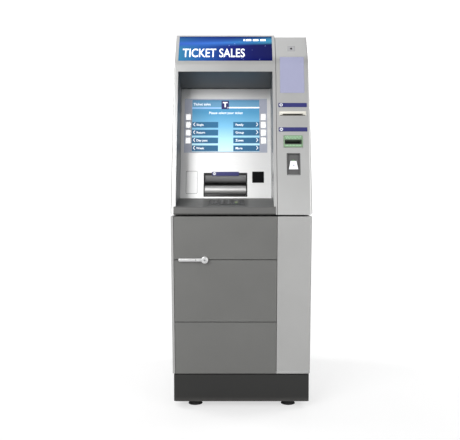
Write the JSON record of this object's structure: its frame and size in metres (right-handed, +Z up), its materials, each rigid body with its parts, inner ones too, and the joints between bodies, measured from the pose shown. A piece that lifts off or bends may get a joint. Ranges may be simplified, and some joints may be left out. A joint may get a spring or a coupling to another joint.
{
  "type": "self-service ticket vending machine",
  "caption": "Upright self-service machine: slanted head with recessed display, keypad and cash slot, card and receipt column at the right, safe with lever door below.",
  "frame": {"origin": "on the floor, at the middle of the machine's width and depth", "axes": "+X to the user's right, the user stands at -Y, +Z up"},
  "size_m": [0.571, 0.86, 1.572],
  "materials": {
    "light_moulding": "satin light silver-grey moulding",
    "dark_cover": "satin warm dark grey paint",
    "lower_light": "satin light grey paint",
    "black_base": "textured near-black paint",
    "safe_steel": "grey primer paint",
    "foot_rubber": "moulded",
    "bright_steel": "polished",
    "plain_steel": "machined",
    "panel_silver": "fine brushed",
    "recess_slate": "fine grain",
    "shelf_grey": "fine grain",
    "display_glass": "anti-glare display face",
    "sign_blue": "back-printed",
    "key_white": "moulded",
    "key_dark": "moulded",
    "pad_body": "bead blasted",
    "slot_black": "moulded",
    "slot_green": "translucent, lit",
    "receipt_beige": "moulded",
    "reader_dark": "moulded",
    "window_dark": "window",
    "label_navy": "printed film",
    "unit_grey": null,
    "cassette_grey": "moulded"
  },
  "bodies": {
    "cabinet": {"safe_body": "safe_steel", "base_plinth": "black_base", "levelling_feet": "foot_rubber", "lower_cladding": "lower_light", "cassette_rack": "plain_steel", "cash_cassettes": "cassette_grey", "head_side_panels": "light_moulding", "head_cover": "light_moulding", "head_chassis": "black_base", "recycler_unit": "unit_grey", "computer_unit": "unit_grey", "hinge_pins": "plain_steel"},
    "lower_door": {"safe_door": "safe_steel", "safe_lock": "plain_steel", "door_covers": "dark_cover", "column_door_cover": "lower_light"},
    "lever": {"door_lever": "bright_steel"},
    "bolts": {"locking_bolts": "plain_steel"},
    "fascia": {"fascia_frame": "light_moulding", "column_fascia": "light_moulding", "recess_surround": "recess_slate", "operator_panel": "panel_silver", "display_module": "display_glass", "sign_panel": "sign_blue", "console_shelf": "shelf_grey", "pin_pad_body": "pad_body", "cash_slot_bezel": "slot_black", "blanking_plate": "panel_silver", "fascia_windows": "window_dark", "guide_labels": "label_navy", "receipt_slot": "receipt_beige", "receipt_printer": "unit_grey", "card_slot": "slot_green", "card_reader": "unit_grey", "contactless_reader": "reader_dark"},
    "shutter": {"cash_shutter": "bright_steel"},
    "function_key_1_body": {"function_key_1": "key_white"},
    "function_key_2_body": {"function_key_2": "key_white"},
    "function_key_3_body": {"function_key_3": "key_white"},
    "function_key_4_body": {"function_key_4": "key_white"},
    "function_key_5_body": {"function_key_5": "key_white"},
    "function_key_6_body": {"function_key_6": "key_white"},
    "function_key_7_body": {"function_key_7": "key_white"},
    "function_key_8_body": {"function_key_8": "key_white"},
    "pin_key_1_body": {"pin_key_1": "key_dark"},
    "pin_key_2_body": {"pin_key_2": "key_dark"},
    "pin_key_3_body": {"pin_key_3": "key_dark"},
    "pin_key_4_body": {"pin_key_4": "key_dark"},
    "pin_key_5_body": {"pin_key_5": "key_dark"},
    "pin_key_6_body": {"pin_key_6": "key_dark"},
    "pin_key_7_body": {"pin_key_7": "key_dark"},
    "pin_key_8_body": {"pin_key_8": "key_dark"},
    "pin_key_9_body": {"pin_key_9": "key_dark"},
    "pin_key_10_body": {"pin_key_10": "key_dark"},
    "pin_key_11_body": {"pin_key_11": "key_dark"},
    "pin_key_12_body": {"pin_key_12": "key_dark"},
    "pin_key_13_body": {"pin_key_13": "key_dark"},
    "pin_key_14_body": {"pin_key_14": "key_dark"},
    "pin_key_15_body": {"pin_key_15": "key_dark"},
    "pin_key_16_body": {"pin_key_16": "key_dark"}
  },
  "joints": [
    {"name": "door_hinge", "type": "hinge", "parent": "cabinet", "child": "lower_door", "pos_m": [0.2775, -0.322, 0.4725], "axis": [0, 0, 1], "range_deg": [0, 100]},
    {"name": "lever_turn", "type": "hinge", "parent": "lower_door", "child": "lever", "pos_m": [-0.1485, -0.36, 0.62], "axis": [0, -1, 0], "range_deg": [0, 90]},
    {"name": "bolt_throw", "type": "slide", "parent": "lower_door", "child": "bolts", "axis": [-1, 0, 0], "range_m": [0, 0.022]},
    {"name": "fascia_lift", "type": "hinge", "parent": "cabinet", "child": "fascia", "pos_m": [0, -0.154, 1.567], "axis": [-1, 0, 0], "range_deg": [0, 60]},
    {"name": "shutter_turn", "type": "hinge", "parent": "fascia", "child": "shutter", "pos_m": [-0.069, -0.19577, 0.90145], "axis": [1, 0, 0], "range_deg": [0, 75]},
    {"name": "function_key_1_press", "type": "slide", "parent": "fascia", "child": "function_key_1_body", "axis": [0, 0.9759, -0.2184], "range_m": [0, 0.002], "stiffness_N_per_m": 400},
    {"name": "function_key_2_press", "type": "slide", "parent": "fascia", "child": "function_key_2_body", "axis": [0, 0.9759, -0.2184], "range_m": [0, 0.002], "stiffness_N_per_m": 400},
    {"name": "function_key_3_press", "type": "slide", "parent": "fascia", "child": "function_key_3_body", "axis": [0, 0.9759, -0.2184], "range_m": [0, 0.002], "stiffness_N_per_m": 400},
    {"name": "function_key_4_press", "type": "slide", "parent": "fascia", "child": "function_key_4_body", "axis": [0, 0.9759, -0.2184], "range_m": [0, 0.002], "stiffness_N_per_m": 400},
    {"name": "function_key_5_press", "type": "slide", "parent": "fascia", "child": "function_key_5_body", "axis": [0, 0.9759, -0.2184], "range_m": [0, 0.002], "stiffness_N_per_m": 400},
    {"name": "function_key_6_press", "type": "slide", "parent": "fascia", "child": "function_key_6_body", "axis": [0, 0.9759, -0.2184], "range_m": [0, 0.002], "stiffness_N_per_m": 400},
    {"name": "function_key_7_press", "type": "slide", "parent": "fascia", "child": "function_key_7_body", "axis": [0, 0.9759, -0.2184], "range_m": [0, 0.002], "stiffness_N_per_m": 400},
    {"name": "function_key_8_press", "type": "slide", "parent": "fascia", "child": "function_key_8_body", "axis": [0, 0.9759, -0.2184], "range_m": [0, 0.002], "stiffness_N_per_m": 400},
    {"name": "pin_key_1_press", "type": "slide", "parent": "fascia", "child": "pin_key_1_body", "axis": [0, 0.1588, -0.9873], "range_m": [0, 0.0025], "stiffness_N_per_m": 500},
    {"name": "pin_key_2_press", "type": "slide", "parent": "fascia", "child": "pin_key_2_body", "axis": [0, 0.1588, -0.9873], "range_m": [0, 0.0025], "stiffness_N_per_m": 500},
    {"name": "pin_key_3_press", "type": "slide", "parent": "fascia", "child": "pin_key_3_body", "axis": [0, 0.1588, -0.9873], "range_m": [0, 0.0025], "stiffness_N_per_m": 500},
    {"name": "pin_key_4_press", "type": "slide", "parent": "fascia", "child": "pin_key_4_body", "axis": [0, 0.1588, -0.9873], "range_m": [0, 0.0025], "stiffness_N_per_m": 500},
    {"name": "pin_key_5_press", "type": "slide", "parent": "fascia", "child": "pin_key_5_body", "axis": [0, 0.1588, -0.9873], "range_m": [0, 0.0025], "stiffness_N_per_m": 500},
    {"name": "pin_key_6_press", "type": "slide", "parent": "fascia", "child": "pin_key_6_body", "axis": [0, 0.1588, -0.9873], "range_m": [0, 0.0025], "stiffness_N_per_m": 500},
    {"name": "pin_key_7_press", "type": "slide", "parent": "fascia", "child": "pin_key_7_body", "axis": [0, 0.1588, -0.9873], "range_m": [0, 0.0025], "stiffness_N_per_m": 500},
    {"name": "pin_key_8_press", "type": "slide", "parent": "fascia", "child": "pin_key_8_body", "axis": [0, 0.1588, -0.9873], "range_m": [0, 0.0025], "stiffness_N_per_m": 500},
    {"name": "pin_key_9_press", "type": "slide", "parent": "fascia", "child": "pin_key_9_body", "axis": [0, 0.1588, -0.9873], "range_m": [0, 0.0025], "stiffness_N_per_m": 500},
    {"name": "pin_key_10_press", "type": "slide", "parent": "fascia", "child": "pin_key_10_body", "axis": [0, 0.1588, -0.9873], "range_m": [0, 0.0025], "stiffness_N_per_m": 500},
    {"name": "pin_key_11_press", "type": "slide", "parent": "fascia", "child": "pin_key_11_body", "axis": [0, 0.1588, -0.9873], "range_m": [0, 0.0025], "stiffness_N_per_m": 500},
    {"name": "pin_key_12_press", "type": "slide", "parent": "fascia", "child": "pin_key_12_body", "axis": [0, 0.1588, -0.9873], "range_m": [0, 0.0025], "stiffness_N_per_m": 500},
    {"name": "pin_key_13_press", "type": "slide", "parent": "fascia", "child": "pin_key_13_body", "axis": [0, 0.1588, -0.9873], "range_m": [0, 0.0025], "stiffness_N_per_m": 500},
    {"name": "pin_key_14_press", "type": "slide", "parent": "fascia", "child": "pin_key_14_body", "axis": [0, 0.1588, -0.9873], "range_m": [0, 0.0025], "stiffness_N_per_m": 500},
    {"name": "pin_key_15_press", "type": "slide", "parent": "fascia", "child": "pin_key_15_body", "axis": [0, 0.1588, -0.9873], "range_m": [0, 0.0025], "stiffness_N_per_m": 500},
    {"name": "pin_key_16_press", "type": "slide", "parent": "fascia", "child": "pin_key_16_body", "axis": [0, 0.1588, -0.9873], "range_m": [0, 0.0025], "stiffness_N_per_m": 500}
  ],
  "couplings": [
    {"joint": "bolt_throw", "follows": "lever_turn", "m_per_rad": 0.014}
  ]
}
